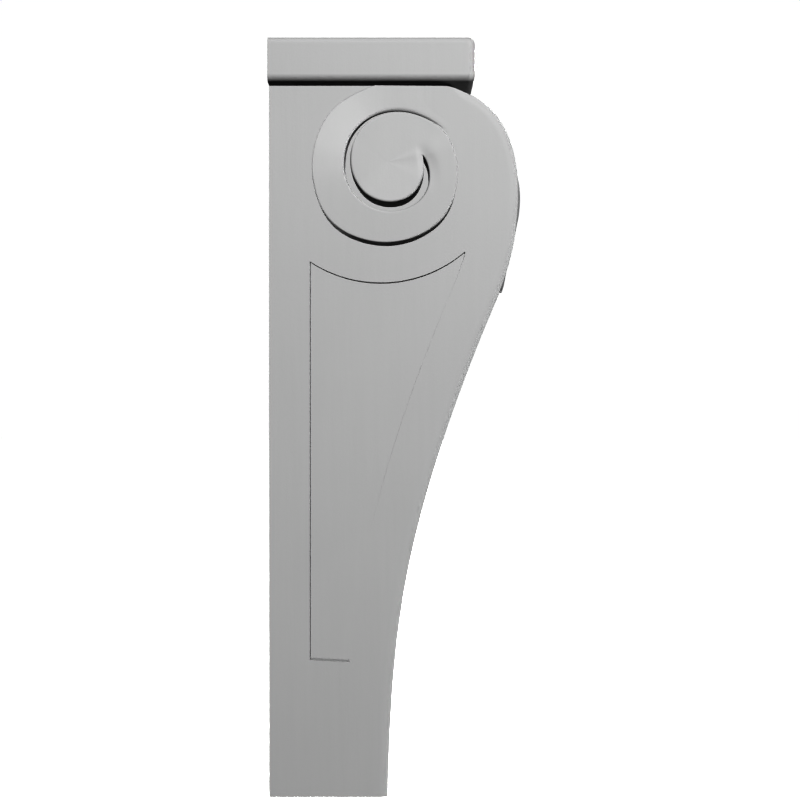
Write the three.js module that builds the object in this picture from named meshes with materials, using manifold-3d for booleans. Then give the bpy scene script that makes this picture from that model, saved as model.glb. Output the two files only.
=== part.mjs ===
// A carved scroll bracket (corbel): a tall S-shaped body under a square-edged top board.
// Each side face carries a spiral volute that rises as it winds in, and a sunk panel below it.
// The front carries an acanthus leaf that hangs over the scroll and lifts at its tip.
// Units are millimetres. The wall plane is y = 0, the bracket stands out towards -Y, +Z is up,
// x = 0 is the plane of symmetry, and the origin is the middle of the back.
import * as THREE from 'three';
import { mergeVertices } from 'three/addons/utils/BufferGeometryUtils.js';
import Module from 'manifold-3d';

// Overall sizes
const TOTAL_HEIGHT = 400;
const BODY_WIDTH = 83;
const JOINT_GAP = 0.3;

// Top board
const BOARD_THICKNESS = 24;
const BOARD_DEPTH = 108.5;
const BOARD_OVERHANG = 8;
const BOARD_TOP_ROUND = 3.8;
const BOARD_FOOT_ROUND = 5;
const BOARD_CORNER_ROUND = 3.8;

// Body outline, seen from the side: depths from the wall
const BASE_DEPTH = 62.7;
const SCROLL_DEPTH = 131.85;
const SHOULDER_DEPTH = 94;
const SCROLL_DROP = 56.5;
const EDGE_ROUND = 1.5;

// Sunk panel in each side
const PANEL_SINK = 5.3;
const PANEL_BACK_MARGIN = 21.6;
const PANEL_FRONT_MARGIN = 22.6;
const PANEL_FOOT_HEIGHT = 71.4;
const PANEL_FOOT_SLANT = 1.05;
const PANEL_HEAD_RADIUS = 68.5;
const PANEL_HEAD_SHIFT = 3.7;
const PANEL_HEAD_RISE = 7;

// Volute on each side
const VOLUTE_RADIUS = 42.5;
const VOLUTE_BACK = 69.25;
const VOLUTE_DROP = 42.3;
const VOLUTE_STAND = 11.6;
const VOLUTE_OUTER_ROUND = 1.8;
const VOLUTE_INNER_ROUND = 2.6;

// Leaf on the front
const LEAF_HALF_WIDTH = 31;
const LEAF_DROP = 105;
const LEAF_BELLY_RELIEF = 5.6;
const LEAF_TIP_RELIEF = 3.4;
const LEAF_EDGE_RELIEF = 1.5;
const LEAF_VEIN_RELIEF = 1;
const LEAF_LOBES = 4;

// How far a raised form reaches into the body that it is carved with
const ROOT = 2;

// Fineness of the faceted surfaces
const BODY_STEPS = 44;
const ROUND_STEPS = 3;
const VOLUTE_STEP = 7.5;
const EYE_STEPS = 48;
const LEAF_ROWS = 40;
const LEAF_COLUMNS = 24;

// Derived places
const BODY_HEIGHT = TOTAL_HEIGHT - BOARD_THICKNESS - JOINT_GAP;
const BASE_Z = -TOTAL_HEIGHT / 2;
const BELLY_HEIGHT = BODY_HEIGHT - SCROLL_DROP;
const VOLUTE_CENTRE = new THREE.Vector2(SCROLL_DEPTH - VOLUTE_BACK, BODY_HEIGHT - VOLUTE_DROP);

// The front in side view from the foot to the belly, as shares of its rise and of its swell.
// lean is the slope of the front there.
const FRONT_KNOTS = [
  { rise: 0, swell: 0, lean: 0.024 },
  { rise: 0.407, swell: 0.185, lean: 0.224 },
  { rise: 0.821, swell: 0.827, lean: 0.425 },
  { rise: 1, swell: 1, lean: 0 },
];

// From the belly to the board, the pull of the two handles of the curve
const BELLY_PULL = 0.64;
const SHOULDER_PULL = 0.58;
const SHOULDER_LEAN = 0.23;

// Edge of the raised band, as [degrees of winding, share of the volute's radius].
// Winding is 0 towards the front, 90 upwards and 180 towards the wall.
const BAND_EDGE = [
  [30, 1.9], [60, 1.35], [90, 1.07], [105, 1.003], [135, 0.956], [180, 0.925], [225, 0.99],
  [270, 0.995], [315, 0.965], [360, 0.865], [405, 0.732], [450, 0.612], [492, 0.565],
  [540, 0.521], [585, 0.544], [630, 0.578], [675, 0.592], [705, 0.53], [735, 0.45],
];

// Edge of the eye, once round
const EYE_EDGE = [
  [0, 0.443], [45, 0.46], [90, 0.485], [130, 0.5], [150, 0.487], [180, 0.449], [225, 0.475],
  [270, 0.523], [300, 0.527], [330, 0.486], [360, 0.443],
];

// How far the band stands out of the side face, as [degrees of winding, share of the eye's stand]
const BAND_STAND = [
  [30, 0], [60, 0.02], [90, 0.11], [135, 0.28], [180, 0.43], [225, 0.59], [270, 0.74],
  [315, 0.85], [360, 0.93], [450, 0.97], [520, 0.99],
];

// Degrees of winding: where the band starts, where the channel beside it ends in a slit,
// and where the second turn of the band sinks into the eye
const BAND_START = 37.5;
const CHANNEL_START = 132;
const SLIT = 371;
const BAND_END = 510;
const EYE_CENTRE_SHARE = 0.3;

// Relief along the middle of the leaf, as [share of its length, share of the belly relief]
const LEAF_SWELL = [
  [0, 0.45], [0.25, 0.58], [0.49, 0.82], [0.575, 1], [0.66, 0.95], [0.75, 0.77], [0.835, 0.44],
  [0.91, 0.2], [1, 0],
];
const LEAF_TIP_START = 0.82;
const LEAF_TIP_ROUND = 0.14;
const LEAF_TAPER = 0.6;
const LOBE_DEPTH = 0.26;
const VEIN_SWEEP = 0.9;
const MIDRIB_HALF_WIDTH = 2.4;

const { clamp, smoothstep, degToRad, lerp } = THREE.MathUtils;

// A point given by its depth from the wall and its height over the foot, in the part's frame
function place(x, depth, height) {
  return new THREE.Vector3(x, -depth, BASE_Z + height);
}

// Smooth curve through [position, value] pairs
function smoothValue(pairs, position) {
  const last = pairs.length - 1;
  const at = clamp(position, pairs[0][0], pairs[last][0]);
  const k = pairs.findIndex(([p], i) => i > 0 && p >= at);
  const slope = (j) => {
    const [p0, v0] = pairs[Math.max(j - 1, 0)];
    const [p1, v1] = pairs[Math.min(j + 1, last)];
    return (v1 - v0) / (p1 - p0);
  };
  const [from, low] = pairs[k - 1];
  const [to, high] = pairs[k];
  const span = to - from;
  const t = (at - from) / span;
  const blend = t * t * (3 - 2 * t);
  const leave = t * (1 - t) * (1 - t) * span * slope(k - 1);
  const arrive = t * t * (t - 1) * span * slope(k);
  return lerp(low, high, blend) + leave + arrive;
}

// Angles of a quarter circle, from 0 to a right angle
function quarter() {
  return Array.from({ length: ROUND_STEPS + 1 }, (_, i) => (i / ROUND_STEPS) * Math.PI / 2);
}

function frontCurve() {
  const path = new THREE.CurvePath();
  const swell = SCROLL_DEPTH - BASE_DEPTH;
  const knots = FRONT_KNOTS.map((knot) => ({
    depth: BASE_DEPTH + swell * knot.swell,
    height: BELLY_HEIGHT * knot.rise,
    lean: knot.lean,
  }));
  for (let i = 1; i < knots.length; i += 1) {
    const [a, b] = [knots[i - 1], knots[i]];
    const third = (b.height - a.height) / 3;
    path.add(new THREE.CubicBezierCurve(
      new THREE.Vector2(a.depth, a.height),
      new THREE.Vector2(a.depth + a.lean * third, a.height + third),
      new THREE.Vector2(b.depth - b.lean * third, b.height - third),
      new THREE.Vector2(b.depth, b.height),
    ));
  }
  const pull = (SCROLL_DEPTH - SHOULDER_DEPTH) * SHOULDER_PULL;
  path.add(new THREE.CubicBezierCurve(
    new THREE.Vector2(SCROLL_DEPTH, BELLY_HEIGHT),
    new THREE.Vector2(SCROLL_DEPTH, BELLY_HEIGHT + SCROLL_DROP * BELLY_PULL),
    new THREE.Vector2(SHOULDER_DEPTH + pull, BODY_HEIGHT - pull * SHOULDER_LEAN),
    new THREE.Vector2(SHOULDER_DEPTH, BODY_HEIGHT),
  ));
  return path;
}

// Evenly spaced points up the front, each with the direction that points into the body
function frontPoints(count) {
  return frontCurve().getSpacedPoints(count).map((point, i, all) => {
    const before = all[Math.max(i - 1, 0)];
    const after = all[Math.min(i + 1, all.length - 1)];
    const along = after.clone().sub(before).normalize();
    return { point, inward: new THREE.Vector2(-along.y, along.x) };
  });
}

// Turns every triangle round when the surface encloses a negative volume
function facingOut(geometry) {
  const at = geometry.attributes.position;
  const index = Array.from(geometry.index.array);
  const corner = (i) => new THREE.Vector3().fromBufferAttribute(at, index[i]);
  let volume = 0;
  for (let i = 0; i < index.length; i += 3) {
    volume += corner(i).dot(corner(i + 1).cross(corner(i + 2)));
  }
  if (volume < 0) {
    for (let i = 0; i < index.length; i += 3) {
      [index[i + 1], index[i + 2]] = [index[i + 2], index[i + 1]];
    }
    geometry.setIndex(index);
  }
  return geometry;
}

// A closed surface from rings of equal length: neighbours are joined, first and last are capped
function loft(rings) {
  const size = rings[0].length;
  const last = (rings.length - 1) * size;
  const index = [];
  for (let start = 0; start < last; start += size) {
    for (let i = 0; i < size; i += 1) {
      const a = start + i;
      const b = start + (i + 1) % size;
      index.push(a, b, b + size, a, b + size, a + size);
    }
  }
  for (let i = 1; i + 1 < size; i += 1) {
    index.push(0, i + 1, i, last, last + i, last + i + 1);
  }
  const positions = rings.flat().flatMap((p) => p.toArray());
  const geometry = new THREE.BufferGeometry();
  geometry.setAttribute('position', new THREE.Float32BufferAttribute(positions, 3));
  geometry.setIndex(index);
  return facingOut(geometry);
}

// The same surface on the other side of x = 0
function mirrored(geometry) {
  const flip = new THREE.Matrix4().makeScale(-1, 1, 1);
  return facingOut(geometry.clone().applyMatrix4(flip));
}

// A side-view shape as a prism between two values of x
function prism(shape, low, high) {
  const geometry = new THREE.ExtrudeGeometry(shape, { depth: high - low, bevelEnabled: false });
  const turn = new THREE.Matrix4().makeBasis(
    new THREE.Vector3(0, -1, 0),
    new THREE.Vector3(0, 0, 1),
    new THREE.Vector3(-1, 0, 0),
  );
  return geometry.applyMatrix4(turn).translate(high, 0, BASE_Z);
}

const wasm = await Module();
wasm.setup();

function toSolid(geometry) {
  const bare = geometry.clone();
  bare.deleteAttribute('normal');
  bare.deleteAttribute('uv');
  const merged = mergeVertices(bare, 1e-4);
  return new wasm.Manifold(new wasm.Mesh({
    numProp: 3,
    vertProperties: new Float32Array(merged.attributes.position.array),
    triVerts: new Uint32Array(merged.index.array),
  }));
}

function toGeometry(solid) {
  const mesh = solid.getMesh();
  const geometry = new THREE.BufferGeometry();
  geometry.setAttribute('position', new THREE.BufferAttribute(mesh.vertProperties, 3));
  geometry.setIndex(new THREE.BufferAttribute(mesh.triVerts, 1));
  geometry.computeVertexNormals();
  return geometry;
}

// One level outline of the top board, square at the wall, with its front corners rounded
function boardRing(height, inset) {
  const half = BODY_WIDTH / 2 + BOARD_OVERHANG - inset;
  const depth = BOARD_DEPTH - inset;
  const round = Math.max(BOARD_CORNER_ROUND, inset + 1) - inset;
  const corner = quarter().map((angle) => [
    half - round + round * Math.cos(angle),
    depth - round + round * Math.sin(angle),
  ]);
  return [
    place(half, 0, height),
    ...corner.map(([x, y]) => place(x, y, height)),
    ...corner.reverse().map(([x, y]) => place(-x, y, height)),
    place(-half, 0, height),
  ];
}

function topBoard() {
  const low = TOTAL_HEIGHT - BOARD_THICKNESS;
  const foot = quarter().map((angle) => boardRing(
    low + BOARD_FOOT_ROUND * (1 - Math.cos(angle)),
    BOARD_FOOT_ROUND * (1 - Math.sin(angle)),
  ));
  const top = quarter().map((angle) => boardRing(
    TOTAL_HEIGHT - BOARD_TOP_ROUND * (1 - Math.sin(angle)),
    BOARD_TOP_ROUND * (1 - Math.cos(angle)),
  ));
  return loft([...foot, ...top]);
}

// Body before carving: level rings from the foot to the board, with both front edges eased
function bodyBlock() {
  const half = BODY_WIDTH / 2;
  const back = new THREE.Vector2(-1, 0);
  const rings = frontPoints(BODY_STEPS).map(({ point, inward }, i) => {
    const into = i === 0 || i === BODY_STEPS ? back : inward;
    const edge = quarter().map((angle) => {
      const sink = EDGE_ROUND * (1 - Math.sin(angle));
      const at = point.clone().addScaledVector(into, sink);
      return [half - EDGE_ROUND * (1 - Math.cos(angle)), at.x, at.y];
    });
    return [
      place(half, 0, point.y),
      ...edge.map(([x, depth, height]) => place(x, depth, height)),
      ...edge.reverse().map(([x, depth, height]) => place(-x, depth, height)),
      place(-half, 0, point.y),
    ];
  });
  return loft(rings);
}

// Everything under the board and behind the front curve, wider than the bracket
function outlinePrism() {
  const shape = new THREE.Shape([
    new THREE.Vector2(0, 0),
    ...frontPoints(BODY_STEPS).map(({ point }) => point),
    new THREE.Vector2(0, BODY_HEIGHT),
  ]);
  return prism(shape, -BODY_WIDTH, BODY_WIDTH);
}

// Sunk panel: straight at the back, parallel to the front, hollow under the volute
function panelShape() {
  const shift = new THREE.Vector2(-PANEL_HEAD_SHIFT, PANEL_HEAD_RISE);
  const centre = VOLUTE_CENTRE.clone().add(shift);
  const front = frontPoints(BODY_STEPS)
    .map(({ point, inward }) => point.clone().addScaledVector(inward, PANEL_FRONT_MARGIN))
    .filter((p) => p.y > PANEL_FOOT_HEIGHT && p.y < centre.y)
    .filter((p) => p.distanceTo(centre) > PANEL_HEAD_RADIUS);
  const corner = front[front.length - 1];
  const from = Math.atan2(corner.y - centre.y, corner.x - centre.x);
  const to = -Math.acos((PANEL_BACK_MARGIN - centre.x) / PANEL_HEAD_RADIUS);
  const shape = new THREE.Shape();
  shape.moveTo(PANEL_BACK_MARGIN, PANEL_FOOT_HEIGHT + PANEL_FOOT_SLANT);
  shape.lineTo(front[0].x, PANEL_FOOT_HEIGHT);
  front.forEach((p) => shape.lineTo(p.x, p.y));
  shape.absarc(centre.x, centre.y, PANEL_HEAD_RADIUS, from, to, true);
  shape.closePath();
  return shape;
}

const bandEdge = (turn) => VOLUTE_RADIUS * smoothValue(BAND_EDGE, turn);
const eyeEdge = (turn) => VOLUTE_RADIUS * smoothValue(EYE_EDGE, turn % 360);
const bandStand = (turn) => VOLUTE_STAND * smoothValue(BAND_STAND, turn);

// A point of the volute on the -X side, standing out of the side face
function volutePoint(turn, radius, stand) {
  const angle = degToRad(turn);
  const depth = VOLUTE_CENTRE.x + radius * Math.cos(angle);
  const height = VOLUTE_CENTRE.y + radius * Math.sin(angle);
  return place(-BODY_WIDTH / 2 - stand, depth, height);
}

// Cross-section of the band, from its inner foot over its rounded edges to its outer foot
function bandSection(turn, inner, outer, innerStand, outerStand) {
  const innerRound = Math.min(VOLUTE_INNER_ROUND, innerStand * 0.6, (outer - inner) / 3);
  const outerRound = Math.min(VOLUTE_OUTER_ROUND, outerStand * 0.6, (outer - inner) / 3);
  const inside = quarter().map((angle) => volutePoint(
    turn,
    inner + innerRound * (1 - Math.cos(angle)),
    innerStand - innerRound * (1 - Math.sin(angle)),
  ));
  const outside = quarter().map((angle) => volutePoint(
    turn,
    outer - outerRound * (1 - Math.sin(angle)),
    outerStand - outerRound * (1 - Math.cos(angle)),
  ));
  return [volutePoint(turn, inner, -ROOT), ...inside, ...outside, volutePoint(turn, outer, -ROOT)];
}

// Windings from one value to another in equal steps
function windings(from, to) {
  const count = Math.ceil((to - from) / VOLUTE_STEP);
  return Array.from({ length: count + 1 }, (_, i) => lerp(from, to, i / count));
}

// First turn of the band: it climbs out of the side face and ends at the slit
function firstTurn() {
  return loft(windings(BAND_START, SLIT).map((turn) => {
    const buried = ROOT * (1 - smoothstep(turn, CHANNEL_START - 12, CHANNEL_START));
    const inner = bandEdge(turn + 360) - buried;
    const stand = bandStand(turn) + 0.01;
    return bandSection(turn, inner, bandEdge(turn), stand, stand);
  }));
}

// Second turn of the band: from before the slit until it has sunk into the eye
function secondTurn() {
  const inner = VOLUTE_RADIUS * EYE_CENTRE_SHARE;
  return loft(windings(SLIT - VOLUTE_STEP, BAND_END).map((turn) => {
    const past = smoothstep(turn, BAND_END - 24, BAND_END);
    const reach = Math.max(turn, SLIT);
    const outer = lerp(bandEdge(turn), eyeEdge(turn) - 0.5, past);
    return bandSection(turn, inner, outer, bandStand(450), bandStand(reach));
  }));
}

// The eye: a raised disc whose edge is rounded over
function eyeDisc() {
  const stand = bandStand(450);
  const ring = (share, inset, height) => Array.from({ length: EYE_STEPS }, (_, i) => {
    const turn = (360 * i) / EYE_STEPS;
    return volutePoint(turn, lerp(1, eyeEdge(turn) - inset, share), height);
  });
  const edge = quarter().map((angle) => ring(
    1,
    VOLUTE_INNER_ROUND * (1 - Math.cos(angle)),
    stand - VOLUTE_INNER_ROUND * (1 - Math.sin(angle)),
  ));
  return loft([ring(0, 0, -ROOT), ring(1, 0, -ROOT), ...edge, ring(0, 0, stand)]);
}

function volute() {
  const parts = [firstTurn(), secondTurn(), eyeDisc()];
  return parts.flatMap((geometry) => [geometry, mirrored(geometry)]).map(toSolid);
}

// Half width of the leaf at a share of its length: lobed, tapering, round at the tip
function leafHalfWidth(share) {
  const lobe = Math.abs(Math.cos(Math.PI * LEAF_LOBES * (share - leafSweep(1)))) ** 5;
  const taper = 1 - LEAF_TAPER * share ** 2;
  const past = clamp((share - 1 + LEAF_TIP_ROUND) / LEAF_TIP_ROUND, 0, 0.97);
  const calm = 1 - smoothstep(share, 0.8, 0.95);
  return LEAF_HALF_WIDTH * taper * (1 - LOBE_DEPTH * lobe * calm) * Math.sqrt(1 - past ** 2);
}

// The veins sweep from the midrib towards the tip, as a share of the leaf's length
function leafSweep(across) {
  return (VEIN_SWEEP * across) / LEAF_LOBES;
}

// Relief of the leaf at a share of its length and a share of its half width
function leafRelief(share, across) {
  const out = Math.abs(across);
  const tip = LEAF_TIP_RELIEF * smoothstep(share, LEAF_TIP_START, 1);
  const middle = LEAF_BELLY_RELIEF * smoothValue(LEAF_SWELL, share) + tip;
  const crown = lerp(LEAF_EDGE_RELIEF, middle, 1 - out ** 2);
  const phase = Math.PI * LEAF_LOBES * (share - leafSweep(out));
  const calm = smoothstep(share, 0.02, 0.1) * (1 - smoothstep(share, 0.86, 0.98));
  const leaflet = (Math.abs(Math.sin(phase)) - 1) * smoothstep(out, 0.08, 0.4) * (1 - out ** 4);
  const rib = Math.max(0, 1 - (out * leafHalfWidth(share)) / MIDRIB_HALF_WIDTH);
  return crown + calm * LEAF_VEIN_RELIEF * (leaflet + 0.5 * rib);
}

// The leaf follows the front from the shoulder down over the belly to its tip
function leaf() {
  const path = frontPoints(BODY_STEPS * 8)
    .filter(({ point }) => point.y > BODY_HEIGHT - LEAF_DROP)
    .reverse();
  const rows = Array.from({ length: LEAF_ROWS + 1 }, (_, row) => {
    const share = row / LEAF_ROWS;
    const { point, inward } = path[Math.round(share * (path.length - 1))];
    const half = leafHalfWidth(share);
    const onFront = (x, relief) => {
      const at = point.clone().addScaledVector(inward, -relief);
      return place(x, at.x, at.y);
    };
    const surface = Array.from({ length: LEAF_COLUMNS + 1 }, (__, column) => {
      const across = (2 * column) / LEAF_COLUMNS - 1;
      return onFront(across * half, leafRelief(share, across));
    });
    return [...surface, onFront(half, -ROOT), onFront(-half, -ROOT)];
  });
  return loft(rows);
}

// Everything under the board, to trim what would rise into it
function underBoard() {
  const far = SCROLL_DEPTH * 2;
  const shape = new THREE.Shape([
    new THREE.Vector2(-far, -far),
    new THREE.Vector2(far, -far),
    new THREE.Vector2(far, BODY_HEIGHT),
    new THREE.Vector2(-far, BODY_HEIGHT),
  ]);
  return prism(shape, -BODY_WIDTH, BODY_WIDTH);
}

function scrollBody() {
  const outline = toSolid(outlinePrism());
  const half = BODY_WIDTH / 2;
  const panels = [
    prism(panelShape(), half - PANEL_SINK, half + ROOT),
    prism(panelShape(), -half - ROOT, PANEL_SINK - half),
  ];
  let body = toSolid(bodyBlock());
  panels.forEach((panel) => { body = body.subtract(toSolid(panel)); });
  volute().forEach((turn) => { body = body.add(turn.intersect(outline)); });
  body = body.add(toSolid(leaf()).intersect(toSolid(underBoard())));
  return toGeometry(body);
}

const paint = new THREE.MeshStandardMaterial({ color: 0xb4b4b4, roughness: 0.5, metalness: 0 });

const board = new THREE.Mesh(topBoard(), paint.clone());
board.name = 'top_board';

const body = new THREE.Mesh(scrollBody(), paint.clone());
body.name = 'scroll_body';

const bracket = new THREE.Group();
bracket.add(board, body);
export default bracket;
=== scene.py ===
"""A carved scroll bracket in satin grey paint, dressed around its fixed frame.

The top board and the scroll body are modelled here again, finer than the frame's faceted solids,
from the same sizes. All sizes are in metres. The wall plane is y = 0, the bracket stands out
towards -Y, +Z is up, and x = 0 is the plane of symmetry. A winding is an angle round a volute:
0 towards the front, 90 upwards and 180 towards the wall.
"""

from __future__ import annotations

import logging
import math
from collections.abc import Callable, Iterable, Sequence
from dataclasses import dataclass, field
from enum import Enum

import bmesh
import bpy
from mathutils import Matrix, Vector


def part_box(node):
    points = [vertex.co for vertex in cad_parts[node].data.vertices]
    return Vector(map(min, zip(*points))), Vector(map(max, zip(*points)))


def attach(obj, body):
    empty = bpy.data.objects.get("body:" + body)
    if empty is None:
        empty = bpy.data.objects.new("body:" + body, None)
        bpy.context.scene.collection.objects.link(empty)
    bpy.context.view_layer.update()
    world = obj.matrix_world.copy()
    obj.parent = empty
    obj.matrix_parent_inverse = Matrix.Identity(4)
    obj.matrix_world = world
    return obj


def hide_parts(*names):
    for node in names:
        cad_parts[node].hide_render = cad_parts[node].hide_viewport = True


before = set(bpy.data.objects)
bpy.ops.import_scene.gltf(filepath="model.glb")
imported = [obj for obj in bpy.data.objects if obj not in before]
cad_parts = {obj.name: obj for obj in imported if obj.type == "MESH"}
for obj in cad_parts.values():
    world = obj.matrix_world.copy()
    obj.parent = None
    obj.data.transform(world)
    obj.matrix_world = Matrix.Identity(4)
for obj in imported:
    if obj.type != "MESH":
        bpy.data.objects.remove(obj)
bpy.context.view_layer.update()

LOG = logging.getLogger("bracket")
MM = 0.001
BODY = "root"
WELD = 2e-6
FULL_TURN = 360

# The real board is a little thinner than the frame's, and the body reaches up to it
UNDERSIDE_LIFT = 0.5 * MM

# Sockets of a Mix node that blends colours, which have the same names as those for numbers
MIX_SHARE = 0
MIX_FIRST = 6
MIX_SECOND = 7
MIX_RESULT = 2

Span = tuple[float, float]
Pairs = Sequence[Span]
Colour = tuple[float, float, float, float]
Section = list[Vector]


class Cut(Enum):
    """How one solid changes another."""

    JOIN = "UNION"
    SINK = "DIFFERENCE"
    KEEP = "INTERSECT"


class Ends(Enum):
    """Which ends of a swept solid are closed."""

    BOTH = 2
    FIRST = 1
    NONE = 0


# Curves


def smooth_step(value: float, low: float, high: float) -> float:
    """Ease from 0 at low to 1 at high.

    Args:
        value: where to read the curve.
        low: where it leaves 0.
        high: where it reaches 1.

    Returns:
        The eased share.
    """
    t = min(max((value - low) / (high - low), 0.0), 1.0)
    return t * t * (3 - 2 * t)


def mix(low: float, high: float, share: float) -> float:
    """Blend two numbers."""
    return low + (high - low) * share


def smooth_value(pairs: Pairs, position: float) -> float:
    """Read a smooth curve that passes through given points.

    Args:
        pairs: (position, value) points in rising order.
        position: where to read the curve, held between its ends.

    Returns:
        The curve's value.
    """
    last = len(pairs) - 1
    at = min(max(position, pairs[0][0]), pairs[last][0])
    k = next(i for i in range(1, last + 1) if pairs[i][0] >= at)

    def slope(j: int) -> float:
        """Slope at point j, from its neighbours."""
        before, after = pairs[max(j - 1, 0)], pairs[min(j + 1, last)]
        return (after[1] - before[1]) / (after[0] - before[0])

    (start, low), (end, high) = pairs[k - 1], pairs[k]
    span = end - start
    t = (at - start) / span
    blend = t * t * (3 - 2 * t)
    leave = t * (1 - t) * (1 - t) * span * slope(k - 1)
    arrive = t * t * (t - 1) * span * slope(k)
    return mix(low, high, blend) + leave + arrive


def quarter_turn(steps: int) -> list[float]:
    """Angles of a quarter circle.

    Args:
        steps: how many equal steps it has.

    Returns:
        The angles from 0 to a right angle.
    """
    return [math.pi / 2 * i / steps for i in range(steps + 1)]


# Solids


def new_piece(name: str, bm: bmesh.types.BMesh) -> bpy.types.Object:
    """Turn a bmesh into an object of the scene.

    Args:
        name: the piece's name.
        bm: its mesh, freed here.

    Returns:
        The object, at the origin.
    """
    mesh = bpy.data.meshes.new(name)
    bm.to_mesh(mesh)
    bm.free()
    piece = bpy.data.objects.new(name, mesh)
    bpy.context.scene.collection.objects.link(piece)
    return piece


def carve(target: bpy.types.Object, tool: bpy.types.Object, cut: Cut) -> None:
    """Join, sink or trim one solid with another, and drop the tool.

    Args:
        target: the solid that changes.
        tool: the solid that it is changed with.
        cut: what happens to the target.
    """
    modifier = target.modifiers.new("carve", "BOOLEAN")
    modifier.object = tool
    modifier.operation = cut.value
    modifier.solver = "EXACT"
    modifier.use_self = False
    bpy.context.view_layer.update()
    graph = bpy.context.evaluated_depsgraph_get()
    result = bpy.data.meshes.new_from_object(target.evaluated_get(graph))
    target.modifiers.clear()
    old = target.data
    target.data = result
    bpy.data.meshes.remove(old)
    bpy.data.objects.remove(tool)


def sweep(bm: bmesh.types.BMesh, sections: list[Section], closed: bool, ends: Ends) -> None:
    """Extrude a section from place to place.

    Args:
        bm: the mesh that the surface is added to.
        sections: the section's corners at each place, always in the same order.
        closed: whether the last corner joins the first.
        ends: which ends get a face.
    """
    ring = [bm.verts.new(p) for p in sections[0]]
    pairs = list(zip(ring, ring[1:])) + ([(ring[-1], ring[0])] if closed else [])
    edges = [bm.edges.new(pair) for pair in pairs]
    first = list(edges)
    for section in sections[1:]:
        order = {vert: i for i, vert in enumerate(ring)}
        grown = bmesh.ops.extrude_edge_only(bm, edges=edges)["geom"]
        edges = [g for g in grown if isinstance(g, bmesh.types.BMEdge)]
        ring = [None] * len(ring)
        for vert in (g for g in grown if isinstance(g, bmesh.types.BMVert)):
            near = next(e.other_vert(vert) for e in vert.link_edges if e.other_vert(vert) in order)
            ring[order[near]] = vert
        for vert, place in zip(ring, section):
            vert.co = place
    if ends in (Ends.BOTH, Ends.FIRST):
        bmesh.ops.edgeloop_fill(bm, edges=first)
    if ends is Ends.BOTH:
        bmesh.ops.edgeloop_fill(bm, edges=edges)


def weld(bm: bmesh.types.BMesh) -> None:
    """Merge corners that coincide and turn all faces outwards.

    Args:
        bm: a mesh whose seams and poles lie on each other.
    """
    bmesh.ops.remove_doubles(bm, verts=bm.verts, dist=WELD)
    bmesh.ops.dissolve_degenerate(bm, edges=bm.edges, dist=WELD)
    bmesh.ops.recalc_face_normals(bm, faces=bm.faces)


def mirror_across(bm: bmesh.types.BMesh) -> None:
    """Add the copy of everything on the other side of x = 0.

    Args:
        bm: a closed mesh that lies on one side.
    """
    copied = bmesh.ops.duplicate(bm, geom=bm.verts[:] + bm.edges[:] + bm.faces[:])["geom"]
    verts = [g for g in copied if isinstance(g, bmesh.types.BMVert)]
    bmesh.ops.scale(bm, vec=(-1, 1, 1), verts=verts)
    bmesh.ops.recalc_face_normals(bm, faces=bm.faces)


def slab(points: Iterable[Vector], low: float, high: float) -> bmesh.types.BMesh:
    """Extrude a side-view outline across the bracket.

    Args:
        points: the outline's corners.
        low: lowest x.
        high: highest x.

    Returns:
        A closed mesh.
    """
    bm = bmesh.new()
    face = bm.faces.new([bm.verts.new((low, p.y, p.z)) for p in points])
    grown = bmesh.ops.extrude_face_region(bm, geom=[face])["geom"]
    verts = [g for g in grown if isinstance(g, bmesh.types.BMVert)]
    bmesh.ops.translate(bm, vec=(high - low, 0, 0), verts=verts)
    bmesh.ops.recalc_face_normals(bm, faces=bm.faces)
    return bm


def round_edges(bm: bmesh.types.BMesh, chosen: Callable[[bmesh.types.BMEdge], bool],
                radius: float, steps: int) -> None:
    """Round over the edges that a test picks.

    Args:
        bm: the mesh.
        chosen: says whether an edge is rounded.
        radius: radius of the rounding.
        steps: how many strips it gets.
    """
    edges = [e for e in bm.edges if chosen(e)]
    bmesh.ops.bevel(bm, geom=edges, offset=radius, offset_type="OFFSET", segments=steps,
                    profile=0.5, affect="EDGES", material=-1, clamp_overlap=True)


def smooth_faces(piece: bpy.types.Object, crease: float) -> None:
    """Shade a piece smooth, with hard edges where it bends sharply.

    Args:
        piece: the piece.
        crease: angle in degrees above which an edge stays hard.
    """
    bm = bmesh.new()
    bm.from_mesh(piece.data)
    for face in bm.faces:
        face.smooth = True
    for edge in bm.edges:
        edge.smooth = edge.calc_face_angle(0.0) < math.radians(crease)
    bm.to_mesh(piece.data)
    bm.free()
    modifier = piece.modifiers.new("even_normals", "WEIGHTED_NORMAL")
    modifier.keep_sharp = True
    modifier.weight = 100


# Outline


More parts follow.
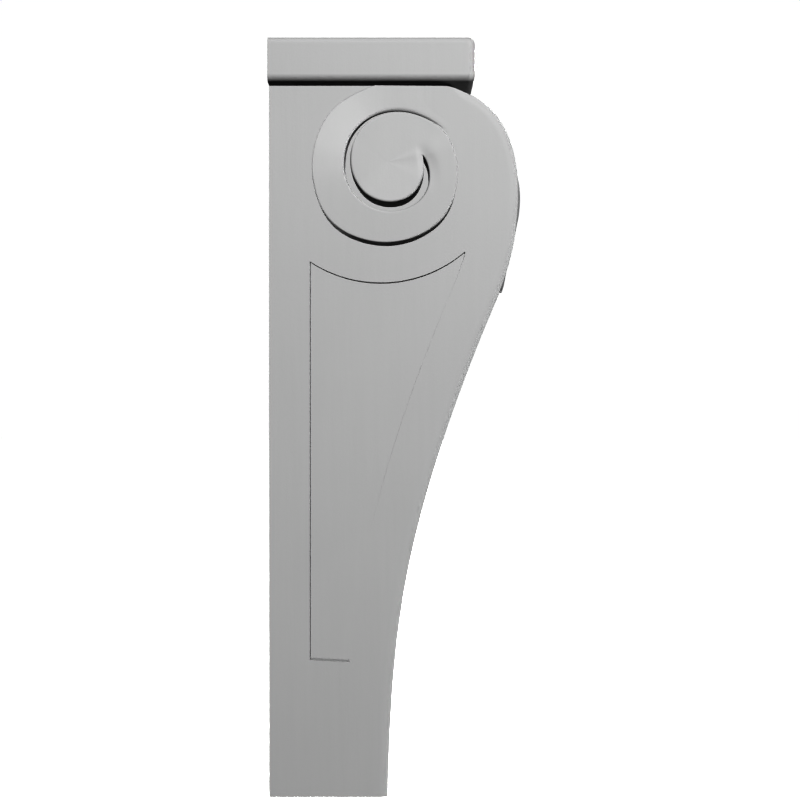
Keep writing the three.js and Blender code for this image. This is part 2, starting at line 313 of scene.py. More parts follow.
@dataclass
class FrontCurve:
    """The front of the body in side view, from the foot over the belly to the board.

    Each knot gives a share of the rise from foot to belly, the share of the swell that is reached
    there, and the slope of the front.
    """

    foot_z: float
    top_z: float
    base_depth: float = 62.7 * MM
    scroll_depth: float = 131.85 * MM
    shoulder_depth: float = 94 * MM
    scroll_drop: float = 57 * MM
    knots: tuple[tuple[float, float, float], ...] = (
        (0, 0, 0.024), (0.407, 0.185, 0.224), (0.821, 0.827, 0.425), (1, 1, 0))
    belly_pull: float = 0.64
    shoulder_pull: float = 0.58
    shoulder_lean: float = 0.23
    steps: int = 200
    points: list[Vector] = field(init=False)
    inward: list[Vector] = field(init=False)

    def __post_init__(self) -> None:
        """Work out the points and the directions into the body."""
        self.points = self.even(self.steps)
        last = self.steps
        self.inward = []
        for i in range(last + 1):
            along = self.points[min(i + 1, last)] - self.points[max(i - 1, 0)]
            self.inward.append(Vector((0, along.z, -along.y)).normalized())

    @property
    def belly_z(self) -> float:
        """Height of the scroll's deepest point."""
        return self.top_z - self.scroll_drop

    def hulls(self) -> list[tuple[tuple[float, float], ...]]:
        """Work out the four stretches of the front.

        Returns:
            Each stretch's four control points, as depth and height.
        """
        swell, rise = self.scroll_depth - self.base_depth, self.belly_z - self.foot_z
        spots = [(self.base_depth + swell * s, self.foot_z + rise * r, lean)
                 for r, s, lean in self.knots]
        hulls = []
        for (d0, z0, lean0), (d1, z1, lean1) in zip(spots, spots[1:]):
            third = (z1 - z0) / 3
            hulls.append(((d0, z0), (d0 + lean0 * third, z0 + third),
                          (d1 - lean1 * third, z1 - third), (d1, z1)))
        pull = (self.scroll_depth - self.shoulder_depth) * self.shoulder_pull
        hulls.append(((self.scroll_depth, self.belly_z),
                      (self.scroll_depth, self.belly_z + self.scroll_drop * self.belly_pull),
                      (self.shoulder_depth + pull, self.top_z - pull * self.shoulder_lean),
                      (self.shoulder_depth, self.top_z)))
        return hulls

    def even(self, steps: int) -> list[Vector]:
        """Points up the front at equal distances.

        Args:
            steps: how many equal steps.

        Returns:
            The points at x = 0, from the foot up.
        """
        dense = [Vector((0, -self.base_depth, self.foot_z))]
        for hull in self.hulls():
            for i in range(1, self.steps + 1):
                t = i / self.steps
                weights = ((1 - t) ** 3, 3 * t * (1 - t) ** 2, 3 * t * t * (1 - t), t ** 3)
                depth = sum(w * p[0] for w, p in zip(weights, hull))
                height = sum(w * p[1] for w, p in zip(weights, hull))
                dense.append(Vector((0, -depth, height)))
        run = [0.0]
        for a, b in zip(dense, dense[1:]):
            run.append(run[-1] + (b - a).length)
        even, k = [], 0
        for i in range(steps + 1):
            goal = run[-1] * i / steps
            while k < len(run) - 2 and run[k + 1] < goal:
                k += 1
            share = (goal - run[k]) / (run[k + 1] - run[k])
            even.append(dense[k].lerp(dense[k + 1], min(share, 1.0)))
        return even

    def outline(self, inset: float = 0.0) -> list[Vector]:
        """The whole side outline, with the flat back, foot and top.

        Args:
            inset: how far the front is moved into the body.

        Returns:
            The corners, once round.
        """
        front = [p + n * inset for p, n in zip(self.points, self.inward)]
        front[0].z, front[-1].z = self.foot_z, self.top_z
        return [Vector((0, 0, self.foot_z)), *front, Vector((0, 0, self.top_z))]


# Pieces


@dataclass
class TopBoard:
    """The board on top: square at the wall, rounded everywhere else."""

    low: Vector
    high: Vector
    corner_round: float = 3.8 * MM
    top_round: float = 3.8 * MM
    foot_round: float = 5.6 * MM
    steps: int = 8
    crease: float = 40.0

    def build(self) -> bpy.types.Object:
        """Model the board.

        Returns:
            The finished piece.
        """
        bm = bmesh.new()
        bmesh.ops.create_cube(bm, size=1)
        middle = (self.high + self.low) / 2
        bmesh.ops.scale(bm, vec=self.high - self.low, verts=bm.verts)
        bmesh.ops.translate(bm, vec=middle, verts=bm.verts)

        def at_front_corner(edge: bmesh.types.BMEdge) -> bool:
            """Whether an upright edge stands at the front."""
            a, b = (v.co for v in edge.verts)
            return abs(a.z - b.z) > WELD and a.y < middle.y

        def rim(level: float) -> Callable[[bmesh.types.BMEdge], bool]:
            """Make a test for the edges at one height, apart from the one along the wall.

            Args:
                level: the height.

            Returns:
                The test.
            """
            def on_rim(edge: bmesh.types.BMEdge) -> bool:
                """Whether the edge lies on that rim."""
                is_level = all(abs(v.co.z - level) < WELD for v in edge.verts)
                return is_level and any(v.co.y < self.high.y - WELD for v in edge.verts)
            return on_rim

        round_edges(bm, at_front_corner, self.corner_round, self.steps)
        round_edges(bm, rim(self.high.z), self.top_round, self.steps)
        round_edges(bm, rim(self.low.z), self.foot_round, self.steps)
        piece = new_piece("board", bm)
        smooth_faces(piece, self.crease)
        return piece


@dataclass
class Volute:
    """The spiral on a side face: a band that climbs as it winds into a round, tilted eye.

    One edge runs on from the band's outer side to the rim of the eye. A channel, sunk into the
    side face, lies between it and the band's inner side and ends in a slit beside the eye.

    Fields that end in _turn or _turns are windings in degrees. The tables give, by winding, the
    radius of the running edge and of the band's inner side as shares of the radius, and how far
    the edge stands out as a share of the stand.
    """

    side_x: float
    centre: Vector
    radius: float = 42.5 * MM
    stand: float = 14 * MM
    centre_stand: float = 11.2 * MM
    outer_round: float = 0.8 * MM
    eye_round: float = 1.2 * MM
    inner_round: float = 0.9 * MM
    lead_round: float = 2.2 * MM
    channel_sink: float = 1.1 * MM
    root: float = 2 * MM
    skirt: float = 0.3 * MM
    fold_depth: float = 0.8 * MM
    fold_width: float = 7 * MM
    fold_lead_turn: float = 50
    fold_fade_turn: float = 22
    start_turn: float = 22
    slit_turn: float = 371
    closing_turn: float = 7
    # Last stretch of the second turn, where its edge is the channel's near side
    tip_turn: float = 60
    # Stretch behind the slit over which the eye's tilt comes to reach the rim
    settle_turn: float = 60
    # From where to where the band's outer side climbs, its inner rounding gets narrower,
    # and the rounding of its outer edge grows into that of the eye
    climb_turns: Span = (50, 80)
    narrow_turns: Span = (75, 125)
    eye_turns: Span = (500, 570)
    sink_turn: float = 38
    sink_margin_turn: float = 1
    sink_start: float = -0.1 * MM
    round_share: float = 0.6
    eye_bow: float = 0.3
    step: float = 2.5
    tip_step: float = 0.5
    round_steps: int = 6
    across: int = 14
    eye_rings: int = 18
    edge: Pairs = (
        (22, 1.3), (45, 1.2), (60, 1.17), (75, 1.12), (90, 1.065), (105, 1.003), (138, 0.958),
        (165, 0.922), (194, 0.934), (226, 1.0), (257, 0.991), (303, 0.974), (317, 0.962),
        (345, 0.889), (370, 0.835), (390, 0.787), (405, 0.73), (425, 0.667), (450, 0.611),
        (472, 0.568), (505, 0.494), (535, 0.456), (570, 0.452), (604, 0.479), (641, 0.506),
        (665, 0.51), (698, 0.472), (714, 0.45), (731, 0.44))
    inner_edge: Pairs = (
        (24, 0.853), (37, 0.815), (58, 0.754), (82, 0.697), (109, 0.639), (148, 0.558),
        (176, 0.527), (225, 0.557), (270, 0.598), (306, 0.612), (325, 0.588), (347, 0.522),
        (371, 0.444))
    rise: Pairs = (
        (22, 0.001), (35, 0.007), (60, 0.011), (87, 0.036), (100, 0.071), (115, 0.143),
        (134, 0.307), (150, 0.464), (168, 0.643), (180, 0.721), (193, 0.786), (210, 0.829),
        (230, 0.857), (371, 0.857), (390, 0.8), (405, 0.757), (425, 0.693), (441, 0.65),
        (471, 0.607), (490, 0.607), (505, 0.621), (535, 0.686), (570, 0.8), (604, 0.943),
        (641, 1), (663, 1), (690, 0.958), (710, 0.893), (722, 0.866), (731, 0.857))

    def stand_at(self, turn: float) -> float:
        """How far the running edge stands out at a winding of either turn."""
        return self.stand * smooth_value(self.rise, turn)

    def openness(self, turn: float) -> float:
        """How open the channel is at a winding of the first turn, down to 0 at the slit's end."""
        past = min(max((turn - self.slit_turn + self.closing_turn) / self.closing_turn, 0), 1)
        return math.sqrt(1 - past ** 2)

    def channel_at(self, turn: float) -> tuple[float, float]:
        """Radii of the channel's two sides.

        Args:
            turn: winding of the first turn.

        Returns:
            The near and the far radius.
        """
        near = self.radius * smooth_value(self.edge, turn + FULL_TURN)
        far = self.radius * smooth_value(self.inner_edge, turn)
        half = (far - near) / 2 * self.openness(turn)
        middle = (far + near) / 2
        return middle - half, middle + half

    def edge_at(self, turn: float) -> float:
        """Radius of the running edge.

        Args:
            turn: winding of either turn.

        Returns:
            The radius.
        """
        if turn > 2 * FULL_TURN - self.tip_turn:
            return self.channel_at(turn - FULL_TURN)[0]
        return self.radius * smooth_value(self.edge, turn)

    def fold(self, turn: float, radius: float) -> float:
        """Depth of the fold that fans out from the slit's end.

        Args:
            turn: winding of either turn.
            radius: distance from the middle of the eye.

        Returns:
            How far the surface dips there.
        """
        slit, end = self.slit_turn, self.slit_turn + FULL_TURN
        if turn <= slit:
            crease = self.channel_at(turn)[1]
            strength = smooth_step(turn, slit - self.fold_lead_turn, slit)
        elif turn < slit + FULL_TURN / 2:
            crease = self.channel_at(slit)[0]
            strength = 1 - smooth_step(turn, slit, slit + self.fold_fade_turn)
        else:
            crease = self.edge_at(turn)
            strength = smooth_step(turn, end - self.fold_lead_turn, end)
        outside = 1 - smooth_step(radius, crease, crease + self.fold_width)
        inside = smooth_step(radius, crease - self.fold_width / 2, crease)
        return self.fold_depth * strength * min(inside, outside)

    def eye_stand(self, turn: float, radius: float) -> float:
        """How far the second turn stands out, before the fold.

        Args:
            turn: winding of the second turn.
            radius: distance from the middle of the eye.

        Returns:
            The height over the side face.
        """
        slit_end = self.channel_at(self.slit_turn)[0]
        share = smooth_step(turn, self.slit_turn, self.slit_turn + self.settle_turn)
        reach = mix(slit_end, self.edge_at(turn), share)
        return mix(self.centre_stand, self.stand_at(turn), min(radius / reach, 1))

    def place(self, turn: float, radius: float, stand: float) -> Vector:
        """Find a point of the volute on the -X side.

        Args:
            turn: winding in degrees.
            radius: distance from the middle of the eye.
            stand: height over the side face.

        Returns:
            The point.
        """
        angle = math.radians(turn)
        return Vector((-self.side_x - stand, self.centre.y - radius * math.cos(angle),
                       self.centre.z + radius * math.sin(angle)))

    def windings(self, start: float, end: float) -> list[float]:
        """List windings from one to another, close together towards the end.

        Args:
            start: first winding.
            end: last winding.

        Returns:
            The windings in rising order.
        """
        slow = end - 2 * self.closing_turn
        count = math.ceil((slow - start) / self.step)
        turns = [mix(start, slow, i / count) for i in range(count)]
        count = math.ceil((end - slow) / self.tip_step)
        return turns + [mix(slow, end, i / count) for i in range(count + 1)]

    def crossing(self, turn: float, inner: float, outer: float, radius: float,
                 top: Callable[[float], float]) -> Section:
        """A cross-section's top, its rounded outer edge and its outer wall.

        Args:
            turn: winding in degrees.
            inner: radius where the top starts.
            outer: radius of the outer wall.
            radius: radius of the outer rounding.
            top: how far the surface stands out at a distance from the middle.

        Returns:
            The corners from the inside out, ending at the wall's foot.
        """
        width = outer - inner
        third = width / 3
        far = min(radius, max(top(outer), 0.0) * self.round_share, third)
        corners = []
        for i in range(self.across):
            out = inner + (width - far) * i / self.across
            corners.append(self.place(turn, out, top(out)))
        for angle in quarter_turn(self.round_steps):
            out = outer - far * (1 - math.sin(angle))
            corners.append(self.place(turn, out, top(out) - far * (1 - math.cos(angle))))
        corners.append(self.place(turn, outer, -self.root))
        return corners

    def first_turn(self) -> list[Section]:
        """Lay out the band from where it leaves the side face to the slit's end.

        Returns:
            Closed sections.
        """
        sections = []
        for turn in self.windings(self.start_turn, self.slit_turn):
            inner, outer = self.channel_at(turn)[1], self.edge_at(turn)
            stand = self.stand_at(turn)
            outer_stand = mix(-self.skirt, stand, smooth_step(turn, *self.climb_turns))

            def top(radius: float) -> float:
                """Height of the band at a distance from the middle."""
                share = (radius - inner) / (outer - inner)
                return mix(stand, outer_stand, share) - self.fold(turn, radius)

            narrow = smooth_step(turn, *self.narrow_turns)
            wide = mix(self.lead_round, self.inner_round, narrow) * self.openness(turn)
            deep = min(wide, stand + self.channel_sink)
            corners = [self.place(turn, inner, -self.root)]
            for angle in quarter_turn(self.round_steps)[:-1]:
                out = inner + wide * (1 - math.cos(angle))
                corners.append(self.place(turn, out, top(out) - deep * (1 - math.sin(angle))))
            corners += self.crossing(turn, inner + wide, outer, self.outer_round, top)
            sections.append(corners)
        return sections

    def second_turn(self) -> list[Section]:
        """Lay out the eye and the turn round it, once round from the slit's end.

        Returns:
            Open sections from the middle of the eye outwards.
        """
        sections = []
        slit = self.slit_turn
        join = self.channel_at(slit)[0]
        for turn in self.windings(slit, slit + FULL_TURN):
            outer = self.edge_at(turn)
            bow = math.sin(math.pi * (turn - slit) / FULL_TURN)
            split = min(join, outer) * (1 - self.eye_bow * bow)

            def top(radius: float) -> float:
                """Height of the eye and the band at a distance from the middle."""
                return self.eye_stand(turn, radius) - self.fold(turn, radius)

            places = [split * i / self.eye_rings for i in range(self.eye_rings)]
            corners = [self.place(turn, out, top(out)) for out in places]
            rim = mix(self.outer_round, self.eye_round, smooth_step(turn, *self.eye_turns))
            corners += self.crossing(turn, split, outer, rim, top)
            corners.append(self.place(turn, min(join, outer), -self.root))
            corners.append(self.place(turn, 0, -self.root))
            sections.append(corners)
        return sections

    def build(self) -> bpy.types.Object:
        """Model both volutes as closed solids that reach into the body.

        Returns:
            The solids, not yet trimmed to the side outline.
        """
        bm = bmesh.new()
        sweep(bm, self.first_turn(), True, Ends.FIRST)
        sweep(bm, self.second_turn(), False, Ends.NONE)
        weld(bm)
        mirror_across(bm)
        return new_piece("volutes", bm)

    def channel(self) -> bpy.types.Object:
        """Model what the channels take out of the side faces.

        Returns:
            The solids. They are wider than the channels, and the volutes fill their margins again.
        """
        over = self.root / 2
        first, last = self.start_turn, self.slit_turn
        margin = self.sink_margin_turn
        sections = []
        for turn in self.windings(first + margin, last - margin):
            near, far = self.channel_at(turn)
            share = smooth_step(turn, first, first + self.sink_turn)
            sink = mix(self.sink_start, self.channel_sink, share)
            corners = ((near - over, over), (far + over, over), (far + over, -sink),
                       (near - over, -sink))
            sections.append([self.place(turn, out, level) for out, level in corners])
        bm = bmesh.new()
        sweep(bm, sections, True, Ends.BOTH)
        weld(bm)
        mirror_across(bm)
        return new_piece("channels", bm)


@dataclass
class SidePanel:
    """The sunk panel in each side face."""

    front: FrontCurve
    centre: Vector
    half_width: float
    sink: float = 5.3 * MM
    back_margin: float = 21.6 * MM
    front_margin: float = 23.8 * MM
    foot_height: float = 71.4 * MM
    foot_slant: float = 1.05 * MM
    head_radius: float = 68.6 * MM
    head_shift: float = 3.5 * MM
    head_rise: float = 7.3 * MM
    over: float = 2 * MM
    head_steps: int = 60

    def shape(self) -> list[Vector]:
        """The panel's outline in side view.

        Returns:
            The corners, once round from the lower back one.
        """
        head = self.centre + Vector((0, self.head_shift, self.head_rise))
        foot = self.front.foot_z + self.foot_height
        pairs = zip(self.front.points, self.front.inward)
        edge = [p + n * self.front_margin for p, n in pairs]
        edge = [p for p in edge if foot < p.z < head.z and (p - head).length > self.head_radius]
        corner = edge[-1]
        start = math.atan2(corner.z - head.z, corner.y - head.y)
        end = -math.acos((-self.back_margin - head.y) / self.head_radius)
        arc = [head + self.head_radius * Vector((0, math.cos(a), math.sin(a)))
               for a in (mix(start, end, i / self.head_steps) for i in range(self.head_steps + 1))]
        low_back = Vector((0, -self.back_margin, foot + self.foot_slant))
        low_front = Vector((0, edge[0].y, foot))
        return [low_back, low_front, *edge[1:], *arc]

    def build(self) -> bpy.types.Object:
        """Model what the panels take out of the side faces.

        Returns:
            The solids for both sides.
        """
        bm = slab(self.shape(), -self.half_width - self.over, self.sink - self.half_width)
        mirror_across(bm)
        return new_piece("panels", bm)


@dataclass
class Leaf:
    """The acanthus leaf that hangs over the front of the scroll and lifts at its tip.

    Places along it are shares of its length from the board down, and places across it shares of
    its half width. The swell is the leaf's height over the front, as a share of the belly relief.
    """

    front: FrontCurve
    half_width: float = 31 * MM
    drop: float = 104.6 * MM
    belly_relief: float = 5.6 * MM
    tip_relief: float = 3.4 * MM
    edge_relief: float = 1.5 * MM
    vein_relief: float = 1.5 * MM
    lobes: int = 5
    teeth: int = 3
    root: float = 2 * MM
    rows: int = 240
    columns: int = 144
    path_share: int = 8
    swell: Pairs = (
        (0, 0.36), (0.25, 0.42), (0.37, 0.64), (0.45, 0.8), (0.52, 0.88), (0.57, 0.88),
        (0.64, 0.76), (0.7, 0.58), (0.76, 0.46), (0.81, 0.42), (0.86, 0.31), (0.91, 0.08),
        (1, -0.04))
    tip_start: float = 0.82
    tip_round: float = 0.14
    tip_close: float = 0.97
    taper: float = 0.6
    lobe_depth: float = 0.3
    lobe_power: int = 6
    tooth_depth: float = 0.22
    tooth_power: int = 3
    lobes_fade: Span = (0.8, 0.95)
    carving_grow: Span = (0.02, 0.1)
    carving_fade: Span = (0.86, 0.98)
    side_power: int = 4
    leaflet_power: float = 0.7
    leaflet_across: Span = (0.08, 0.4)
    flute_depth: float = 0.35
    flute_across: Span = (0.35, 0.75)
    vein_sweep: float = 0.9
    midrib_height: float = 0.33
    midrib_half_width: float = 2.4 * MM

    def sweep_at(self, across: float) -> float:
        """How far the veins run towards the tip, as a share of the length."""
        return self.vein_sweep * across / self.lobes

    def half_width_at(self, share: float) -> float:
        """Find the half width at a place along the leaf.

        Args:
            share: the place.

        Returns:
            The half width.
        """
        phase = math.pi * self.lobes * (share - self.sweep_at(1))
        tooth = self.tooth_depth * abs(math.cos(self.teeth * phase)) ** self.tooth_power
        lobe = abs(math.cos(phase)) ** self.lobe_power + tooth
        taper = 1 - self.taper * share ** 2
        past = min(max((share - 1 + self.tip_round) / self.tip_round, 0), self.tip_close)
        calm = 1 - smooth_step(share, *self.lobes_fade)
        width = self.half_width * taper * (1 - self.lobe_depth * lobe * calm)
        return width * math.sqrt(1 - past ** 2)

    def relief_at(self, share: float, across: float) -> float:
        """Find the height of the carving over the front.

        Args:
            share: place along the leaf.
            across: place across it, negative on the -X side.

        Returns:
            The height.
        """
        out = abs(across)
        tip = self.tip_relief * smooth_step(share, self.tip_start, 1)
        middle = self.belly_relief * smooth_value(self.swell, share) + tip
        crown = mix(self.edge_relief, middle, 1 - out ** 2)
        phase = math.pi * self.lobes * (share - self.sweep_at(out))
        calm = smooth_step(share, *self.carving_grow) * (1 - smooth_step(share, *self.carving_fade))
        leaflet = abs(math.sin(phase)) ** self.leaflet_power - 1
        leaflet *= smooth_step(out, *self.leaflet_across)
        flute = self.flute_depth * math.sin(self.teeth * phase) ** 2
        flute *= smooth_step(out, *self.flute_across)
        rib = max(0, 1 - out * self.half_width_at(share) / self.midrib_half_width)
        carving = (leaflet - flute) * (1 - out ** self.side_power) + self.midrib_height * rib
        return crown + calm * self.vein_relief * carving

    def build(self) -> bpy.types.Object:
        """Model the leaf.

        Returns:
            A closed solid that reaches into the body, not yet trimmed under the board.
        """
        path = self.front.even(self.rows * self.path_share)
        path = [p for p in path if p.z > self.front.top_z - self.drop][::-1]
        last = len(path) - 1
        sections = []
        for row in range(self.rows + 1):
            share = row / self.rows
            k = round(share * last)
            along = path[min(k + 1, last)] - path[max(k - 1, 0)]
            outward = Vector((0, along.z, -along.y)).normalized()
            half = self.half_width_at(share)
            section = []
            for column in range(self.columns + 1):
                across = 2 * column / self.columns - 1
                point = path[k] + outward * self.relief_at(share, across)
                section.append(Vector((across * half, point.y, point.z)))
            for side in (1, -1):
                point = path[k] - outward * self.root
                section.append(Vector((side * half, point.y, point.z)))
            sections.append(section)
        bm = bmesh.new()
        sweep(bm, sections, True, Ends.BOTH)
        weld(bm)
        return new_piece("leaf", bm)


@dataclass
class ScrollBody:
    """The S-shaped body with its volutes, sunk panels and front leaf."""

    front: FrontCurve
    half_width: float
    ease_width: float = 5 * MM
    ease_depth: float = 1.4 * MM
    ease_end: int = 6
    volute_back: float = 69.25 * MM
    volute_drop: float = 42.8 * MM
    volute_inset: float = 2 * MM
    steps: int = 8
    crease: float = 34.0

    @property
    def centre(self) -> Vector:
        """Centre of the volutes in side view."""
        depth = self.front.scroll_depth - self.volute_back
        return Vector((0, -depth, self.front.top_z - self.volute_drop))

    def block(self) -> bpy.types.Object:
        """Model the uncarved body, with both front edges eased.

        Returns:
            The solid, swept from the foot to the board.
        """
        sections = []
        last = len(self.front.points) - 1
        for i, (point, inward) in enumerate(zip(self.front.points, self.front.inward)):
            share = 1 - smooth_step(i, last - self.ease_end, last)
            into = Vector((0, 1, 0)) if i == 0 else inward
            edge = []
            for angle in quarter_turn(self.steps):
                at = point + into * (share * self.ease_width * (1 - math.sin(angle)))
                x = self.half_width - share * self.ease_depth * (1 - math.cos(angle))
                edge.append(Vector((x, at.y, at.z)))
            other = [Vector((-p.x, p.y, p.z)) for p in reversed(edge)]
            sections.append([Vector((self.half_width, 0, point.z)), *edge, *other,
                             Vector((-self.half_width, 0, point.z))])
        bm = bmesh.new()
        sweep(bm, sections, True, Ends.BOTH)
        weld(bm)
        return new_piece("body", bm)

    def volutes(self, volute: Volute) -> bpy.types.Object:
        """Model both volutes, trimmed to the side outline.

        Args:
            volute: their sizes.

        Returns:
            The solids.
        """
        piece = volute.build()
        reach = self.half_width + 2 * volute.stand
        clip = slab(self.front.outline(self.volute_inset), -reach, reach)
        carve(piece, new_piece("trim", clip), Cut.KEEP)
        return piece

    def leaf(self) -> bpy.types.Object:
        """Model the leaf, trimmed under the board.

        Returns:
            The solid.
        """
        leaf = Leaf(self.front)
        piece = leaf.build()
        far = 2 * self.front.scroll_depth
        low, high = self.front.foot_z, self.front.top_z
        corners = [Vector((0, y, z)) for y, z in ((0, low), (-far, low), (-far, high), (0, high))]
        clip = slab(corners, -self.half_width, self.half_width)
        carve(piece, new_piece("trim", clip), Cut.KEEP)
        return piece

    def build(self) -> bpy.types.Object:
        """Carve the body.

        Returns:
            The finished piece.
        """
        piece = self.block()
        carve(piece, SidePanel(self.front, self.centre, self.half_width).build(), Cut.SINK)
        volute = Volute(self.half_width, self.centre)
        carve(piece, volute.channel(), Cut.SINK)
        carve(piece, self.volutes(volute), Cut.JOIN)
        carve(piece, self.leaf(), Cut.JOIN)
        smooth_faces(piece, self.crease)
        return piece


# Finish


class Wire:
    """A value in a material that can be worked with like a number."""

    def __init__(self, tree: bpy.types.NodeTree, socket: bpy.types.NodeSocket) -> None:
        """Wrap a socket.

        Args:
            tree: the material's nodes.
            socket: the output that holds the value.
        """
        self.tree = tree
        self.socket = socket

    def _math(self, operation: str, first: Wire | float, second: Wire | float) -> Wire:
        """Add a Math node."""
        return add_node(self.tree, "ShaderNodeMath", {"operation": operation}, {0: first, 1: second})

    def __add__(self, other: Wire | float) -> Wire:
        """Sum."""
        return self._math("ADD", self, other)

    def __sub__(self, other: Wire | float) -> Wire:
        """Difference."""
        return self._math("SUBTRACT", self, other)

    def __rsub__(self, other: Wire | float) -> Wire:
        """Difference with a plain number first."""
        return self._math("SUBTRACT", other, self)

    def __mul__(self, other: Wire | float) -> Wire:
        """Product."""
        return self._math("MULTIPLY", self, other)

    __radd__ = __add__
    __rmul__ = __mul__


def add_node(tree: bpy.types.NodeTree, kind: str, settings: dict[str, object],
             inputs: dict[int | str, object], output: int | str = 0) -> Wire:
    """Add a node, set it up and link it.

    Args:
        tree: the material's nodes.
        kind: the node's type.
        settings: properties set before the sockets.
        inputs: values or wires of the sockets.
        output: the socket that the result wraps.

    Returns:
        The node's output.
    """
    node = tree.nodes.new(kind)
    for name, value in settings.items():
        setattr(node, name, value)
    for key, value in inputs.items():
        if isinstance(value, Wire):
            tree.links.new(value.socket, node.inputs[key])
        else:
            node.inputs[key].default_value = value
    return Wire(tree, node.outputs[output])


def grey(level: float) -> Colour:
    """An opaque grey."""
    return (level, level, level, 1)


@dataclass(frozen=True)
class SatinPaint:
    """Satin grey paint over fine-grained carved wood."""

    slot: str = "painted_wood"
    light: Colour = grey(0.485)
    dark: Colour = grey(0.455)
    roughness: float = 0.5
    sheen: float = 0.06
    roughness_spread: float = 0.08
    cloud_scale: float = 14
    cloud_detail: float = 4
    cloud_share: float = 0.6
    grain_scale: float = 260
    grain_stretch: float = 0.06
    grain_detail: float = 5
    grain_roughness: float = 0.6
    grain_share: float = 0.7
    brush_scale: float = 900
    brush_detail: float = 2
    bump_height: float = 0.00006

    def make(self) -> bpy.types.Material:
        """Make the material.

        Returns:
            The material with its nodes.
        """
        material = bpy.data.materials.new("satin_paint")
        material.use_nodes = True
        tree = material.node_tree
        shader = tree.nodes["Principled BSDF"]
        shader.inputs["Specular IOR Level"].default_value = self.sheen
        place = add_node(tree, "ShaderNodeTexCoord", {}, {}, "Object")
        along = add_node(tree, "ShaderNodeMapping", {},
                         {"Vector": place, "Scale": (1, 1, self.grain_stretch)})
        cloud = add_node(tree, "ShaderNodeTexNoise", {},
                         {"Vector": place, "Scale": self.cloud_scale,
                          "Detail": self.cloud_detail})
        grain = add_node(tree, "ShaderNodeTexNoise", {},
                         {"Vector": along, "Scale": self.grain_scale,
                          "Detail": self.grain_detail, "Roughness": self.grain_roughness})
        brush = add_node(tree, "ShaderNodeTexNoise", {},
                         {"Vector": place, "Scale": self.brush_scale,
                          "Detail": self.brush_detail})
        shade = self.cloud_share * cloud + (1 - self.cloud_share) * grain
        colour = add_node(tree, "ShaderNodeMix", {"data_type": "RGBA"},
                          {MIX_SHARE: shade, MIX_FIRST: self.dark, MIX_SECOND: self.light},
                          MIX_RESULT)
        rough = self.roughness + self.roughness_spread * (grain - 0.5)
        height = self.grain_share * grain + (1 - self.grain_share) * brush
        bump = add_node(tree, "ShaderNodeBump", {},
                        {"Height": height, "Distance": self.bump_height, "Strength": 1.0})
        tree.links.new(colour.socket, shader.inputs["Base Color"])
        tree.links.new(rough.socket, shader.inputs["Roughness"])
        tree.links.new(bump.socket, shader.inputs["Normal"])
        return material


# Studio


@dataclass(frozen=True)
class Lamp:
    """A small light whose strength doesn't fade with distance."""

    name: str
    place: tuple[float, float, float]
    strength: float
    size: float
    casts_shadows: bool

    def build(self) -> None:
        """Add the light."""
        data = bpy.data.lights.new(self.name, "POINT")
        data.energy = 1.0
        data.shadow_soft_size = self.size
        data.use_shadow = self.casts_shadows
        data.use_nodes = True
        tree = data.node_tree
        level = add_node(tree, "ShaderNodeLightFalloff", {}, {"Strength": self.strength}, "Constant")
        tree.links.new(level.socket, tree.nodes["Emission"].inputs["Strength"])
        piece = bpy.data.objects.new(self.name, data)
        piece.location = self.place
        bpy.context.scene.collection.objects.link(piece)


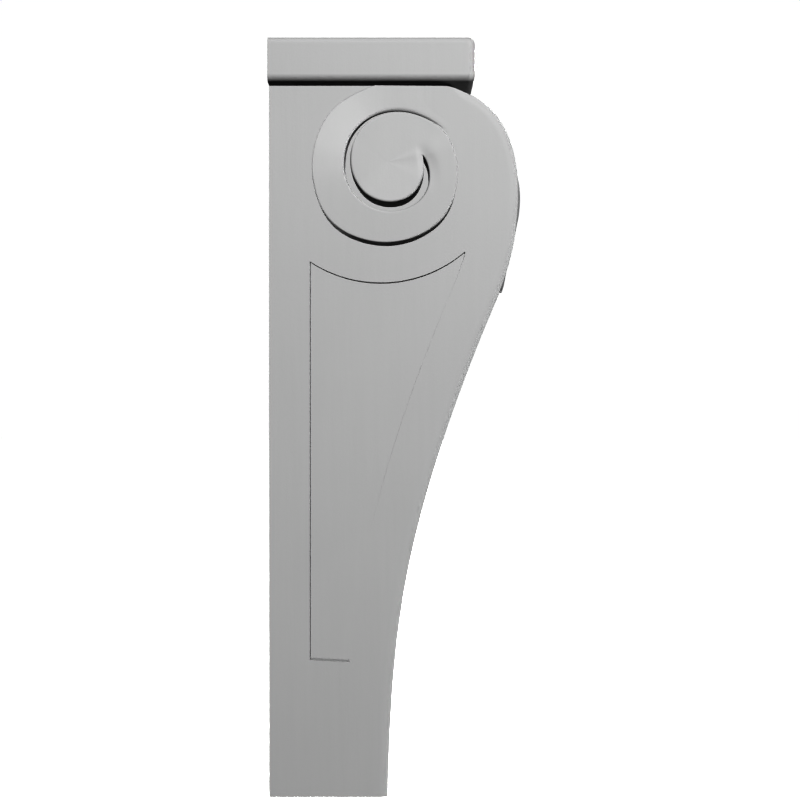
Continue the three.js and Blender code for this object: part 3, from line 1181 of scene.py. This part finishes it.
@dataclass
class Studio:
    """Camera, lights and floor, which repeat the even light of the photo.

    The photo's shading has no cast shadows, no light bounced between surfaces and no tone curve.
    The key therefore casts no shadows, the floor and the pieces are hidden from bounced light, and
    the view transform is Raw. The other lamps light the sides that the photo doesn't show.
    """

    eye: tuple[float, float, float] = (-629 * MM, -69.25 * MM, 10 * MM)
    lens: float = 50.0
    sensor: float = 36.0
    clip_start: float = 0.01
    floor_z: float = -1.1
    floor_size: float = 30
    floor_shade: float = 0.9
    floor_roughness: float = 0.9
    floor_glow: float = 1.0
    white: float = 1.01
    ambient: float = 0.03
    lamps: tuple[Lamp, ...] = (
        Lamp("key", (-0.869, -0.296, 0.4745), 65.0, 0.004, False),
        Lamp("far_side", (0.869, -0.296, 0.4745), 60.0, 0.03, True),
        Lamp("front_fill", (0.25, -1.2, -0.35), 18.0, 0.06, True),
        Lamp("back", (0.0, 1.0, 0.4), 24.0, 0.03, True))

    def camera(self) -> None:
        """Place the camera square to the -X side."""
        data = bpy.data.cameras.new("camera")
        data.lens = self.lens
        data.sensor_width = self.sensor
        data.clip_start = self.clip_start
        piece = bpy.data.objects.new("camera", data)
        piece.location = self.eye
        piece.rotation_euler = (math.pi / 2, 0, -math.pi / 2)
        bpy.context.scene.collection.objects.link(piece)
        bpy.context.scene.camera = piece

    def backdrop(self) -> None:
        """Lay the pale floor and set the surroundings, white to the camera and dim to the rest."""
        bm = bmesh.new()
        bmesh.ops.create_grid(bm, x_segments=2, y_segments=2, size=self.floor_size)
        bmesh.ops.translate(bm, vec=(0, 0, self.floor_z), verts=bm.verts)
        floor = new_piece("floor", bm)
        floor.visible_diffuse = False
        floor.visible_glossy = False
        material = bpy.data.materials.new("pale_floor")
        material.use_nodes = True
        shader = material.node_tree.nodes["Principled BSDF"]
        shader.inputs["Base Color"].default_value = grey(self.floor_shade)
        shader.inputs["Roughness"].default_value = self.floor_roughness
        shader.inputs["Emission Color"].default_value = grey(1)
        shader.inputs["Emission Strength"].default_value = self.floor_glow
        floor.data.materials.append(material)
        world = bpy.data.worlds.new("studio")
        world.use_nodes = True
        bpy.context.scene.world = world
        tree = world.node_tree
        seen = add_node(tree, "ShaderNodeLightPath", {}, {}, "Is Camera Ray")
        level = seen * (self.white - self.ambient) + self.ambient
        tree.links.new(level.socket, tree.nodes["Background"].inputs["Strength"])
        tree.nodes["Background"].inputs["Color"].default_value = grey(1)

    def build(self) -> None:
        """Set up everything around the bracket."""
        self.camera()
        for lamp in self.lamps:
            lamp.build()
        self.backdrop()
        bpy.context.scene.view_settings.view_transform = "Raw"


def dress(piece: bpy.types.Object, material: bpy.types.Material, node: str) -> None:
    """Give a piece its finish and its place in the model.

    Args:
        piece: the finished piece.
        material: its material.
        node: the solid that it stands for.
    """
    piece.data.materials.clear()
    piece.data.materials.append(material)
    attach(piece, BODY)
    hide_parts(node)

    # No light is bounced from one surface to another, as in the photo
    piece.visible_diffuse = False
    LOG.info("%s: %d faces, in place of %s", piece.name, len(piece.data.polygons), node)


def main() -> None:
    """Build every sub-assembly in order and report each piece.

    The board's overhang is what its ends stand out past the body.
    """
    logging.basicConfig(level=logging.INFO, format="%(name)s: %(message)s")
    paint = SatinPaint()
    material = paint.make()
    board_low, board_high = (Vector(c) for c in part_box("top_board"))
    body_low, body_high = (Vector(c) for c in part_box("scroll_body"))
    overhang = 8 * MM
    board_low.z += UNDERSIDE_LIFT
    body_high.z += UNDERSIDE_LIFT
    board = TopBoard(board_low, board_high).build()
    dress(board, material, "top_board")
    front = FrontCurve(body_low.z, body_high.z)
    body = ScrollBody(front, board_high.x - overhang).build()
    dress(body, material, "scroll_body")
    Studio().build()


if __name__ == "__main__":
    main()
